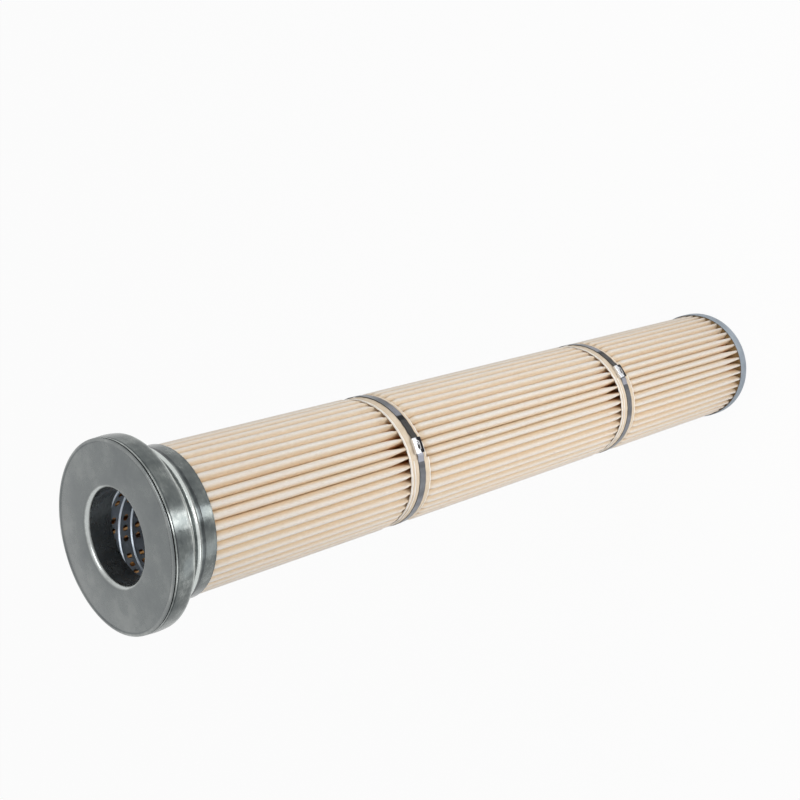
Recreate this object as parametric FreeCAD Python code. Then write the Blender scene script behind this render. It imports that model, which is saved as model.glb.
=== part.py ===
import FreeCAD, Part
import math
import os

from FreeCAD import Placement, Rotation, Vector

# Pleated filter element: a hollow steel top cap with a drawn bore, pleated media round a
# perforated core, a closed bottom cap, and two steel straps over cloth bands.
# Millimetres, +Z up. It stands on its bottom cap, with the origin at the middle of the base.

overall_length = 880.0

# Face plate of the top cap, one drawn pressing with the bore's collar
face_sheet = 1.2
bore_radius = 39.2
lip_radius = 5.0
lip_flat_count = 4
collar_depth = 24.4
rim_radius = 80.0
rim_width = 3.2
rim_rise = 0.4
rim_ramp = 0.6
rim_depth = 2.0
rim_rounding = 1.5
rim_overlap = 1.0

# Shell of the top cap, from the rim's hem down to the skirt
shell_sheet = 1.0
hem_gap = 0.5
hem_width = 1.5
hem_projection = 0.2
wall_height = 17.3
wall_bulge = 0.6
wall_rounding = 3.0
cone_height = 4.7
neck_step = 0.9
upper_groove = 4.7
bead_width = 6.6
bead_height = 2.6
bead_rounding = 2.4
lower_groove = 4.2
skirt_step = 0.8
skirt_length = 10.8
skirt_gap = 0.2
skirt_sheet = 0.9

# Perforated core
core_sheet = 0.8
core_fit = 0.1
hole_radius = 2.2
hole_side_count = 8
holes_in_group = 3
hole_step = 12.0
groups_in_turn = 8
hole_row_below_collar = 8.0
helix_pitch = 60.0

# Pleated media
pleat_count = 45
media_outer_radius = 63.5
media_sheet = 0.7
media_fit = 0.1
fold_width = 4.4
fold_arc = 150.0
fold_flat_count = 4
inner_fold_gap = 0.6
inner_crown_share = 0.5

# Resin that bonds the media and the core into the caps
top_resin_depth = 16.4
bottom_resin_depth = 9.0

# Bottom cap
cap_sheet = 1.0
cap_height = 13.0
cap_gap = 0.6
cap_rounding = 1.5

# Cloth bands, steel straps and their buckles
upper_strap_below_top = 289.0
strap_spacing = 334.5
band_above_strap = 2.5
band_width = 23.0
band_lap = 5.6
band_fit = 0.05
cloth_thickness = 0.6
strap_width = 7.9
strap_thickness = 0.5
buckle_length = 14.7
buckle_width = 10.2
buckle_height = 3.6
buckle_sheet = 0.7
buckle_fit = 0.15
ball_radius = 1.2
ball_slot_length = 6.0
ball_slot_width = 2.8
upper_buckle_angle = -87.0
lower_buckle_angle = -75.0

# Small roundings are drawn with this many flats
rounding_flat_count = 2

# Sizes that follow from those above
face_height = overall_length - rim_rise
plate_underside = face_height - face_sheet
collar_end = face_height - collar_depth
collar_outer_radius = bore_radius + face_sheet
core_inner_radius = collar_outer_radius + core_fit
core_outer_radius = core_inner_radius + core_sheet
media_inner_radius = core_outer_radius + media_fit
core_top = face_height - lip_radius - face_sheet
core_bottom = cap_sheet
hole_row_top = collar_end - hole_row_below_collar
skirt_inner_radius = media_outer_radius + skirt_gap
skirt_outer_radius = skirt_inner_radius + skirt_sheet
neck_radius = skirt_outer_radius + neck_step
hem_neck_radius = rim_radius - rim_overlap
hem_radius = rim_radius + hem_projection
cap_inner_radius = media_outer_radius + cap_gap
cap_outer_radius = cap_inner_radius + cap_sheet
top_resin_bottom = plate_underside - top_resin_depth
bottom_resin_top = cap_sheet + bottom_resin_depth
media_bottom = bottom_resin_top
media_top = top_resin_bottom
upper_strap_height = overall_length - upper_strap_below_top
lower_strap_height = upper_strap_height - strap_spacing
band_seat_radius = media_outer_radius + band_fit
strap_seat_radius = band_seat_radius + 2.0 * cloth_thickness


def rounded_corner(before, corner, after, rounding, flat_count):
    # Points of the tangent arc that rounds one corner of an outline
    towards = (before - corner).normalize()
    onwards = (after - corner).normalize()
    half_angle = towards.getAngle(onwards) / 2.0
    centre = corner + (towards + onwards).normalize() * (rounding / math.sin(half_angle))
    arm = corner + towards * (rounding / math.tan(half_angle)) - centre
    sweep = 180.0 - math.degrees(2.0 * half_angle)
    axis = onwards.cross(towards)
    turns = [Rotation(axis, sweep * step / flat_count) for step in range(flat_count + 1)]
    return [centre + turn.multVec(arm) for turn in turns]


def outline_face(corners):
    # Face in the XZ plane through (x, z, rounding, number of flats) corners
    places = [Vector(x, 0.0, z) for x, z, rounding, flat_count in corners]
    points = []
    for index, (x, z, rounding, flat_count) in enumerate(corners):
        if flat_count == 0:
            points.append(places[index])
        else:
            after = places[(index + 1) % len(places)]
            points.extend(rounded_corner(places[index - 1], places[index], after, rounding, flat_count))
    return Part.Face(Part.makePolygon(points + [points[0]]))


def sharp(x, z):
    return x, z, 0.0, 0


def rounded(x, z, rounding, flat_count=rounding_flat_count):
    return x, z, rounding, flat_count


def outward(solid):
    if solid.Volume < 0.0:
        solid.reverse()
    return solid


def turned(corners):
    # Solid of revolution about Z from the corners of its half section
    return outward(outline_face(corners).revolve(Vector(0, 0, 0), Vector(0, 0, 1), 360.0))


def top_face_plate():
    rim_start = rim_radius - rim_width
    return turned([
        rounded(bore_radius, face_height, lip_radius, lip_flat_count),
        sharp(rim_start, face_height),
        sharp(rim_start + rim_ramp, overall_length),
        rounded(rim_radius, overall_length, rim_rounding),
        sharp(rim_radius, overall_length - rim_depth),
        sharp(hem_neck_radius, overall_length - rim_depth),
        sharp(hem_neck_radius, plate_underside),
        rounded(collar_outer_radius, plate_underside, lip_radius - face_sheet),
        sharp(collar_outer_radius, collar_end),
        sharp(bore_radius, collar_end),
    ])


def pointed_bead_height():
    # Height of a pointed bead whose tip, once rounded off, comes down to the bead's height
    straight = bead_height - bead_rounding
    slope = 1.0 - (2.0 * bead_rounding / bead_width) ** 2
    reach = math.sqrt(straight ** 2 - slope * (straight ** 2 - bead_rounding ** 2))
    return (straight + reach) / slope


def top_shell():
    hem_top = overall_length - rim_depth - hem_gap
    hem_bottom = hem_top - hem_width
    seat_height = hem_bottom - wall_height
    cone_bottom = seat_height - cone_height
    bead_top = cone_bottom - upper_groove
    bead_middle = bead_top - bead_width / 2.0
    bead_bottom = bead_top - bead_width
    groove_bottom = bead_bottom - lower_groove
    skirt_top = groove_bottom - skirt_step
    skirt_bottom = skirt_top - skirt_length
    seat_inner_radius = neck_radius + cone_height
    bulge_middle = (hem_bottom + seat_height + wall_rounding) / 2.0
    apex_radius = neck_radius + pointed_bead_height()
    return turned([
        sharp(hem_neck_radius - shell_sheet, plate_underside),
        sharp(hem_neck_radius, plate_underside),
        sharp(hem_neck_radius, hem_top),
        sharp(hem_radius, hem_top),
        sharp(hem_radius, hem_bottom),
        sharp(hem_radius + wall_bulge, bulge_middle),
        rounded(hem_radius, seat_height, wall_rounding),
        sharp(seat_inner_radius, seat_height),
        sharp(neck_radius, cone_bottom),
        sharp(neck_radius, bead_top),
        rounded(apex_radius, bead_middle, bead_rounding),
        sharp(neck_radius, bead_bottom),
        sharp(neck_radius, groove_bottom),
        sharp(skirt_outer_radius, skirt_top),
        sharp(skirt_outer_radius, skirt_bottom),
        sharp(skirt_inner_radius, skirt_bottom),
        sharp(skirt_inner_radius, bead_bottom),
        sharp(skirt_inner_radius + bead_height, bead_middle),
        sharp(skirt_inner_radius, bead_top),
        sharp(skirt_inner_radius, cone_bottom),
        sharp(seat_inner_radius - shell_sheet, seat_height + shell_sheet),
        sharp(hem_radius - shell_sheet, seat_height + shell_sheet),
        sharp(hem_radius - shell_sheet, hem_bottom),
        sharp(hem_neck_radius - shell_sheet, hem_top),
    ])


def top_resin():
    outer_radius = hem_neck_radius - shell_sheet
    lip_clear_radius = bore_radius + lip_radius
    return turned([
        sharp(lip_clear_radius, plate_underside),
        sharp(outer_radius, plate_underside),
        sharp(outer_radius, top_resin_bottom),
        sharp(core_outer_radius, top_resin_bottom),
        sharp(core_outer_radius, core_top),
        sharp(lip_clear_radius, core_top),
    ])


def inner_core():
    tube = turned([
        sharp(core_inner_radius, core_bottom),
        sharp(core_outer_radius, core_bottom),
        sharp(core_outer_radius, core_top),
        sharp(core_inner_radius, core_top),
    ])
    punches = []
    for group in range(groups_in_turn):
        for hole in range(holes_in_group):
            angle = group * 360.0 / groups_in_turn + hole * hole_step
            punches.append(core_punch(angle, hole_row_top - helix_pitch * (1.0 - angle / 360.0)))
    return tube.cut(punches)


def core_punch(angle, height):
    # One hole's punch, drawn with flats that keep the area of the round hole
    share = 2.0 * math.pi / hole_side_count
    corner_radius = hole_radius * math.sqrt(share / math.sin(share))
    corners = []
    for index in range(hole_side_count + 1):
        turn = share * index
        corners.append(Vector(0.0, corner_radius * math.cos(turn), height + corner_radius * math.sin(turn)))
    punch = Part.Face(Part.makePolygon(corners)).extrude(Vector(core_outer_radius + core_sheet, 0, 0))
    punch.rotate(Vector(0, 0, 0), Vector(0, 0, 1), angle)
    return punch


def fold_tip():
    # The rounded tip of a fold about the X axis, from its lower shoulder to its upper one
    half_arc = math.radians(fold_arc / 2.0)
    tip_radius = fold_width / 2.0 / math.sin(half_arc)
    points = []
    for index in range(fold_flat_count + 1):
        turn = half_arc * (2.0 * index / fold_flat_count - 1.0)
        across = tip_radius * math.sin(turn)
        points.append(Vector(media_outer_radius - tip_radius * (1.0 - math.cos(turn)), across, 0.0))
    return points


def pleat_points(angle):
    # One pleat about the given angle: its outer side and its core side, as plan points
    half_pitch = math.pi / pleat_count
    tip = fold_tip()
    floor_radius = media_inner_radius + media_sheet
    floor_angle = half_pitch - inner_fold_gap / 2.0 / floor_radius
    flank_foot = Vector(floor_radius * math.cos(floor_angle), floor_radius * math.sin(floor_angle), 0.0)
    along = (tip[-1] - flank_foot).normalize()
    inward = Vector(along.y, -along.x, 0.0) * media_sheet
    inner_top = tip[-1] + inward
    inner_foot = flank_foot + inward
    crown = Vector(media_outer_radius - media_sheet, inner_top.y * inner_crown_share, 0.0)
    fold_angle = half_pitch - (inner_fold_gap / 2.0 + media_sheet) / 2.0 / media_inner_radius
    fold = Vector(media_inner_radius * math.cos(fold_angle), media_inner_radius * math.sin(fold_angle), 0.0)
    core_half = [crown, inner_top, inner_foot, fold]
    outer_side = [mirrored(flank_foot)] + tip + [flank_foot]
    core_side = [mirrored(point) for point in reversed(core_half)] + core_half
    turn = Rotation(Vector(0, 0, 1), angle)
    return [turn.multVec(point) for point in outer_side], [turn.multVec(point) for point in core_side]


def mirrored(point):
    return Vector(point.x, -point.y, point.z)


def pleated_media():
    outer_points = []
    core_points = []
    for index in range(pleat_count):
        outer_side, core_side = pleat_points(index * 360.0 / pleat_count)
        outer_points.extend(outer_side)
        core_points.extend(core_side)
    outer_face = Part.Face(Part.makePolygon(outer_points + [outer_points[0]]))
    section = outer_face.cut(Part.Face(Part.makePolygon(core_points + [core_points[0]])))
    section.translate(Vector(0, 0, media_bottom))
    return outward(section.extrude(Vector(0, 0, media_top - media_bottom)))


def bottom_cap():
    return turned([
        sharp(0.0, 0.0),
        rounded(cap_outer_radius, 0.0, cap_rounding),
        sharp(cap_outer_radius, cap_height),
        sharp(cap_inner_radius, cap_height),
        sharp(cap_inner_radius, cap_sheet),
        sharp(0.0, cap_sheet),
    ])


def bottom_resin():
    return turned([
        sharp(core_outer_radius, cap_sheet),
        sharp(cap_inner_radius, cap_sheet),
        sharp(cap_inner_radius, bottom_resin_top),
        sharp(core_outer_radius, bottom_resin_top),
    ])


def tip_polygon(radius, height):
    # The line of a tight band that runs straight from one pleat's tip to the next
    points = []
    for index in range(pleat_count + 1):
        angle = 2.0 * math.pi * index / pleat_count
        points.append(Vector(radius * math.cos(angle), radius * math.sin(angle), height))
    return Part.makePolygon(points)


def tight_band(inner_radius, outer_radius, low, high):
    section = Part.Face(tip_polygon(outer_radius, low)).cut(Part.Face(tip_polygon(inner_radius, low)))
    return outward(section.extrude(Vector(0, 0, high - low)))


def cloth_band(strap_height):
    # One strip wound twice, the second turn set below the first by the lap
    low = strap_height + band_above_strap - band_width / 2.0
    high = low + band_width
    first_layer = tight_band(band_seat_radius, band_seat_radius + cloth_thickness, low, high)
    second_layer = tight_band(band_seat_radius + cloth_thickness, strap_seat_radius,
                              low + band_lap, high - band_lap)
    return first_layer.fuse(second_layer).removeSplitter()


def steel_strap(middle):
    return tight_band(strap_seat_radius, strap_seat_radius + strap_thickness,
                      middle - strap_width / 2.0, middle + strap_width / 2.0)


def sleeve(length, width, top, rounding):
    # A block along the strap, from the strap's seat to its top, with two rounded ridges
    half = width / 2.0
    face = outline_face([
        sharp(strap_seat_radius, -half),
        rounded(top, -half, rounding),
        rounded(top, half, rounding),
        sharp(strap_seat_radius, half),
    ])
    face.translate(Vector(0, -length / 2.0, 0))
    return outward(face.extrude(Vector(0, length, 0)))


def strap_buckle(middle, angle):
    top = strap_seat_radius + buckle_height
    block = sleeve(buckle_length, buckle_width, top, buckle_sheet)
    passage = sleeve(buckle_length, strap_width + 2.0 * buckle_fit, top - buckle_sheet, buckle_fit)
    slot_straight = ball_slot_length - ball_slot_width
    depth = buckle_height + buckle_sheet
    corner = Vector(strap_seat_radius, -slot_straight / 2.0, -ball_slot_width / 2.0)
    cutters = [passage, Part.makeBox(depth, slot_straight, ball_slot_width, corner)]
    for side in (-0.5, 0.5):
        start = Vector(strap_seat_radius, side * slot_straight, 0.0)
        cutters.append(Part.makeCylinder(ball_slot_width / 2.0, depth, start, Vector(1, 0, 0)))
    return placed_on_strap(block.cut(cutters), middle, angle)


def locking_ball(middle, angle):
    centre = strap_seat_radius + strap_thickness + ball_radius
    return placed_on_strap(Part.makeSphere(ball_radius, Vector(centre, 0.0, 0.0)), middle, angle)


def placed_on_strap(shape, middle, angle):
    seat = Placement(Vector(0, 0, middle), Rotation(Vector(0, 0, 1), angle))
    shape.Placement = seat.multiply(shape.Placement)
    return shape


def build():
    upper = upper_strap_height
    lower = lower_strap_height
    return {
        "top_face_plate": top_face_plate(),
        "top_shell": top_shell(),
        "top_resin": top_resin(),
        "inner_core": inner_core(),
        "pleated_media": pleated_media(),
        "bottom_resin": bottom_resin(),
        "bottom_cap": bottom_cap(),
        "cloth_band_upper": cloth_band(upper),
        "cloth_band_lower": cloth_band(lower),
        "steel_strap_upper": steel_strap(upper),
        "steel_strap_lower": steel_strap(lower),
        "strap_buckle_upper": strap_buckle(upper, upper_buckle_angle),
        "strap_buckle_lower": strap_buckle(lower, lower_buckle_angle),
        "locking_balls": Part.makeCompound([locking_ball(upper, upper_buckle_angle),
                                            locking_ball(lower, lower_buckle_angle)]),
    }


os.makedirs("parts", exist_ok=True)
for name, shape in build().items():
    shape.exportStep("parts/" + name + ".step")
    print(name, round(shape.Volume, 1), shape.isValid(), len(shape.Solids))
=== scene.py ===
import math
import bmesh
import bpy
from mathutils import Matrix, Vector


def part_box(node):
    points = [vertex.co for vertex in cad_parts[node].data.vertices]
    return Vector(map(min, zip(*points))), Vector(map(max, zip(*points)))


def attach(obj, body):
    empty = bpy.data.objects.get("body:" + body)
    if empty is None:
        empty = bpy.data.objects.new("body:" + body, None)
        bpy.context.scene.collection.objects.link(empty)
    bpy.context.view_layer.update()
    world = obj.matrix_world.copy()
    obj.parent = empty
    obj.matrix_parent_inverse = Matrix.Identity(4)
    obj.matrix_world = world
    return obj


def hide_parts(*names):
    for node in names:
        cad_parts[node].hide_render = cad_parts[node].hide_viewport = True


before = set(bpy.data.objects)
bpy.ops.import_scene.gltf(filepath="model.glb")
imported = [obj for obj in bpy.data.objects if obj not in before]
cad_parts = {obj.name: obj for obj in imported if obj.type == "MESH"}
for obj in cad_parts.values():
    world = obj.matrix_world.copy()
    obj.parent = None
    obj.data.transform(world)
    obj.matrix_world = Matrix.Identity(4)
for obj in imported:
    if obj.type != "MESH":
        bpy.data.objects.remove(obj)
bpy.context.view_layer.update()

mm = 0.001
mergeReach = 0.001 * mm  # points of a finished piece that coincide
weld = 0.02 * mm  # points of the copies that the trees make
origin = (0.0, 0.0, 0.0)
fullTurn = 2.0 * math.pi
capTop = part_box("top_face_plate")[1].z
print("frame loaded, top of the cap at", round(capTop, 4))


# Node trees

def operatorPair(name):
    # The plain and the reflected form of an operator, each adding its Math node
    return (lambda self, other: self.maker.function(name, self, other),
            lambda self, other: self.maker.function(name, other, self))


class Wire:
    # One socket, which can stand in an expression
    def __init__(self, maker, socket):
        self.maker = maker
        self.socket = socket

    __add__, __radd__ = operatorPair("ADD")
    __sub__, __rsub__ = operatorPair("SUBTRACT")
    __mul__, __rmul__ = operatorPair("MULTIPLY")
    __truediv__, __rtruediv__ = operatorPair("DIVIDE")
    __pow__, __rpow__ = operatorPair("POWER")


class Maker:
    # Adds nodes to one tree: a type, its settings, then values or links for its sockets
    def __init__(self, tree, owner=None):
        self.tree = tree
        self.owner = owner

    def add(self, kind, settings=None, values=None, output=0):
        node = self.tree.nodes.new(kind)
        for key, value in (settings or {}).items():
            if key == "stops":
                self.fillRamp(node.color_ramp, value)
            else:
                setattr(node, key, value)
        pairs = values.items() if isinstance(values, dict) else enumerate(values or [])
        for key, value in pairs:
            if isinstance(value, Wire):
                self.tree.links.new(value.socket, node.inputs[key])
            else:
                node.inputs[key].default_value = value
        return Wire(self, node.outputs[output]) if node.outputs else None

    def fillRamp(self, ramp, stops):
        while len(ramp.elements) < len(stops):
            ramp.elements.new(0.5)
        for element, stop in zip(ramp.elements, stops):
            element.position, element.color = stop

    def paint(self, factor, stops):
        # A ramp of colours as read off a picture
        return self.add("ShaderNodeValToRGB", {"stops": [(at, shade(tone)) for at, tone in stops]}, [factor])

    def tint(self, factor, base, tone):
        return self.add("ShaderNodeMix", {"data_type": "RGBA"}, {0: factor, 6: base, 7: shade(tone)}, output=2)

    def span(self, value, low, high, newLow=0.0, newHigh=1.0, kind="LINEAR"):
        return self.add("ShaderNodeMapRange", {"interpolation_type": kind}, [value, low, high, newLow, newHigh])

    def ease(self, value, *limits):
        return self.span(value, *limits, kind="SMOOTHSTEP")

    def noise(self, place, scale, detail=3.0, roughness=0.55):
        return self.add("ShaderNodeTexNoise", {},
                        {"Vector": place, "Scale": scale, "Detail": detail, "Roughness": roughness})

    def stretch(self, place, height):
        # Squeezes a pattern along the element's height, or draws it out
        return self.add("ShaderNodeMapping", {}, {"Vector": place, "Scale": (1.0, 1.0, height)})

    def split(self, place):
        outputs = self.add("ShaderNodeSeparateXYZ", {}, [place]).socket.node.outputs
        return [Wire(self, output) for output in outputs]

    def join(self, *numbers):
        return self.add("ShaderNodeCombineXYZ", {}, list(numbers))

    def around(self, angle, radius, height):
        # A place from its angle round the axis, its distance from it and its height
        return self.join(self.function("COSINE", angle) * radius, self.function("SINE", angle) * radius, height)

    def function(self, operation, *values):
        return self.add("ShaderNodeMath", {"operation": operation}, list(values))


def shade(tone):
    # A colour as read off a picture, 0 to 255, made linear
    def linear(value):
        value = value / 255.0
        return value / 12.92 if value <= 0.04045 else ((value + 0.055) / 1.055) ** 2.4
    return tuple(linear(value) for value in tone) + (1.0,)


def scaled(tone, gain):
    return [level * gain for level in tone]


def emptyTree(owner):
    owner.use_nodes = True
    owner.node_tree.nodes.clear()
    return Maker(owner.node_tree, owner)


def newMaterial(name):
    maker = emptyTree(bpy.data.materials.new(name))
    return maker, maker.add("ShaderNodeTexCoord", output=3)


def finishMaterial(maker, base, roughness, metallic=0.0, bump=None, bumpDistance=0.0):
    values = {"Base Color": base, "Roughness": roughness, "Metallic": metallic}
    if bump is not None:
        relief = {"Height": bump, "Strength": 1.0, "Distance": bumpDistance}
        values["Normal"] = maker.add("ShaderNodeBump", {}, relief)
    shader = maker.add("ShaderNodeBsdfPrincipled", {}, values)
    maker.add("ShaderNodeOutputMaterial", {}, {"Surface": shader})
    return maker.owner


# Materials

faceSteelLook = {
    "dark": (112, 116, 117), "mid": (121, 125, 125), "light": (140, 143, 142), "roughness": 0.27,
    "cloud": 30.0, "cloudBump": 0.5, "speck": 0.35, "byRadius": True,
    # Painted shade and highlights by radius in millimetres: light on the bore's lip, a dark line at about 77 and a
    # light rim roll outside it
    "paintedLight": [(38.0, 0.54), (39.4, 0.6), (40.0, 0.84), (41.4, 0.78), (42.8, 0.5), (49.0, 0.5), (76.3, 0.5),
             (76.8, 0.34), (77.3, 0.36), (77.8, 0.58), (79.2, 0.6), (80.0, 0.44)],
}
# The same steel as the face, with a darker middle and dark tone as painted shade for the wall's darker reflections
shellSteelLook = {
    "dark": (82, 87, 88), "mid": (108, 113, 112), "light": (152, 156, 154), "roughness": 0.24,
    "cloud": 55.0, "cloudBump": 1.0, "speck": 0.6, "byRadius": False,
    # Painted shade and highlights by height in millimetres: dark at the skirt's edge, in the groove, at the neck
    # and near the hem, light on the bead and the wall's lower edge
    "paintedLight": [(826.9, 0.34), (828.0, 0.5), (837.5, 0.47), (838.6, 0.34), (840.6, 0.36), (842.4, 0.64),
             (844.0, 0.8), (846.0, 0.88), (848.4, 0.82), (850.4, 0.64), (852.4, 0.4), (857.0, 0.34),
             (859.6, 0.42), (860.6, 0.74), (862.0, 0.56), (864.0, 0.5), (874.6, 0.5), (875.6, 0.32),
             (876.0, 0.62), (877.2, 0.6), (877.6, 0.2), (878.6, 0.12)],
}
spunSteelMix = {
    "cloud": 0.6, "grain": 0.15, "paintedLight": 1.1, "shift": 0.425, "darkest": 0.66, "lightest": 1.35,
    "speckTone": (182, 186, 184), "cloudRoughness": 0.3, "grainRoughness": 0.12, "fineBump": 0.05,
}


def paintedLightTone(maker, place, look):
    # Painted shade and highlights on the sheet, darker in the grooves and at thin lines, lighter on the lip, the
    # rim roll and the bead, from the radius or the height in millimetres
    east, north, height = maker.split(place)
    measure = (east * east + north * north) ** 0.5 if look["byRadius"] else height
    low, high = look["paintedLight"][0][0], look["paintedLight"][-1][0]
    stops = [((at - low) / (high - low), (tone, tone, tone, 1.0)) for at, tone in look["paintedLight"]]
    return maker.add("ShaderNodeValToRGB", {"stops": stops}, [maker.span(measure * 1000.0, low, high)])


def spunSteel(name, look):
    mix = spunSteelMix
    maker, place = newMaterial(name)
    cloud = maker.noise(place, look["cloud"], 4.0, 0.6)
    grain = maker.noise(maker.stretch(place, 5.0), 260.0, 3.0, 0.65)
    # The painted shade and highlights, added to the random tone
    paintedLight = maker.add("ShaderNodeSeparateColor", {}, [paintedLightTone(maker, place, look)])
    tone = cloud * mix["cloud"] + grain * mix["grain"] + paintedLight * mix["paintedLight"] - mix["shift"]
    base = maker.paint(tone, [
        (0.2, scaled(look["dark"], mix["darkest"])), (0.36, look["dark"]), (0.5, look["mid"]),
        (0.64, look["light"]), (0.82, scaled(look["light"], mix["lightest"]))])
    speck = maker.span(maker.noise(place, 700.0, 2.0), 0.73, 0.8)
    base = maker.tint(speck * look["speck"], base, mix["speckTone"])
    roughness = look["roughness"] + (cloud - 0.5) * mix["cloudRoughness"] + (grain - 0.5) * mix["grainRoughness"]
    bump = maker.noise(place, 48.0, 3.0) * look["cloudBump"] + maker.noise(place, 380.0, 2.0) * mix["fineBump"]
    return finishMaterial(maker, base, roughness, 0.95, bump, 0.0004)


# Noise entries are scale, detail and roughness
coreSteelLook = {
    "tones": [(0.3, (150, 160, 168)), (0.7, (196, 204, 214))], "cloud": (70.0, 4.0, 0.6), "scuff": 0.0,
    "roughness": 0.28, "spread": 0.15, "metallic": 0.75, "dents": (160.0, 3.0), "bump": 0.0002,
}
resinLook = {
    "tones": [(0.3, (136, 110, 72)), (0.7, (176, 150, 108))], "cloud": (60.0, 4.0), "scuff": 0.0,
    "roughness": 0.42, "spread": 0.2, "metallic": 0.0, "dents": (120.0, 2.0), "bump": 0.0003,
}
endCapLook = {
    "tones": [(0.35, (138, 148, 158)), (0.68, (164, 174, 184))], "cloud": (45.0, 4.0, 0.6), "scuff": 0.25,
    "scuffTone": (196, 202, 206), "roughness": 0.5, "spread": 0.15, "metallic": 0.35, "dents": (300.0, 2.0),
    "bump": 0.0001,
}


def cloudyMaterial(name, look):
    maker, place = newMaterial(name)
    cloud = maker.noise(place, *look["cloud"])
    base = maker.paint(cloud, look["tones"])
    if look["scuff"]:
        scuff = maker.span(maker.noise(maker.stretch(place, 6.0), 150.0, 3.0), 0.66, 0.76)
        base = maker.tint(scuff * look["scuff"], base, look["scuffTone"])
    roughness = look["roughness"] + cloud * look["spread"]
    dents = maker.noise(place, *look["dents"])
    return finishMaterial(maker, base, roughness, look["metallic"], dents, look["bump"])


# Layers from the folds' feet to their tips: radius and colour. The colours paint shade and light: orange-brown at
# the feet, where the valleys lie in shade, and whiter in a narrow band at the tips
mediaLook = {
    "layers": [(51.0, (224, 162, 92)), (57.5, (248, 229, 201)), (61.7, (226, 208, 184)), (63.3, (228, 222, 214))],
    "patch": 34.0, "fibre": 520.0, "uneven": 1.2,
    "warm": (236, 200, 158), "fibreDark": (208, 184, 156), "fibreLight": (250, 246, 238),
    "warmShare": 0.22, "darkShare": 0.5, "lightShare": 0.45, "roughness": 0.92, "bump": 0.00025,
}


def mediaFelt():
    look = mediaLook
    maker, place = newMaterial("mediaFelt")
    east, north = maker.split(place)[:2]
    radius = (east * east + north * north) ** 0.5
    patch = maker.noise(maker.stretch(place, 0.16), look["patch"], 4.0, 0.6)
    fibre = maker.noise(maker.stretch(place, 0.35), look["fibre"], 4.0, 0.7)
    low, high = look["layers"][0][0] * mm, look["layers"][-1][0] * mm
    # Painted shade down in the valleys and painted light at the tips, by radius
    depth = maker.span(radius + (patch - 0.5) * look["uneven"] * mm, low, high)
    base = maker.paint(depth, [((at * mm - low) / (high - low), tone) for at, tone in look["layers"]])
    base = maker.tint(maker.span(patch, 0.42, 0.72) * look["warmShare"], base, look["warm"])
    base = maker.tint(maker.span(fibre, 0.54, 0.76) * look["darkShare"], base, look["fibreDark"])
    base = maker.tint(maker.span(fibre, 0.24, 0.44, 1.0, 0.0) * look["lightShare"], base, look["fibreLight"])
    return finishMaterial(maker, base, look["roughness"], 0.0, fibre * 0.6 + patch * 0.5, look["bump"])


def tapePlace(maker):
    # Where a point lies on a tape, strap or buckle, in metres along it and across it
    return maker.split(maker.add("ShaderNodeUVMap", {"uv_map": "tapeMap"}))[:2]


clothLook = {
    # The seam tone is painted shade: a tan line just inside each edge of the tape
    "dark": (214, 195, 169), "light": (232, 216, 194), "edge": (246, 242, 236), "seam": (198, 164, 126),
    "weave": 2600.0, "edgeStart": 0.0092, "edgeEnd": 0.0100, "edgeShadeWidth": 0.001, "edgeShadeSoft": 0.0002,
    "roughness": 0.9, "bump": 0.00018,
}


def clothTape():
    look = clothLook
    maker, place = newMaterial("clothTape")
    along, across = tapePlace(maker)
    weave = maker.function("SINE", along * look["weave"]) * maker.function("SINE", across * look["weave"])
    patch = maker.noise(place, 120.0, 4.0, 0.6)
    fibre = maker.noise(place, 1500.0, 3.0, 0.7)
    base = maker.paint(patch * 0.6 + fibre * 0.4, [(0.35, look["dark"]), (0.62, look["light"])])
    beside = maker.function("ABSOLUTE", across)
    # A tan line of painted shade just inside each edge
    start, soft = look["edgeStart"], look["edgeShadeSoft"]
    seam = maker.span(beside, start - look["edgeShadeWidth"], start - soft)
    seam = seam * maker.span(beside, start - soft, start + soft, 1.0, 0.0)
    base = maker.tint(seam * 0.4, base, look["seam"])
    base = maker.tint(maker.span(beside, start, look["edgeEnd"]) * 0.9, base, look["edge"])
    return finishMaterial(maker, base, look["roughness"], 0.0, weave * 0.35 + fibre * 0.6, look["bump"])


# Lengths of the painted reflections and shade run from the buckle's middle, upwards at the start of the strap and
# back from its end
strapLook = {
    "dark": (72, 70, 68), "mid": (112, 114, 118), "light": (168, 170, 180), "low": (94, 95, 99),
    "kink": (26, 26, 28), "edge": (50, 49, 50), "length": 0.4004, "darkEnd": 0.0325, "kinkStart": 0.0272,
    "lightEnd": 0.0153, "shadeEnd": 0.0213, "soft": 0.001, "edges": (0.0033, 0.0038), "brightBand": 0.86,
}


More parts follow.
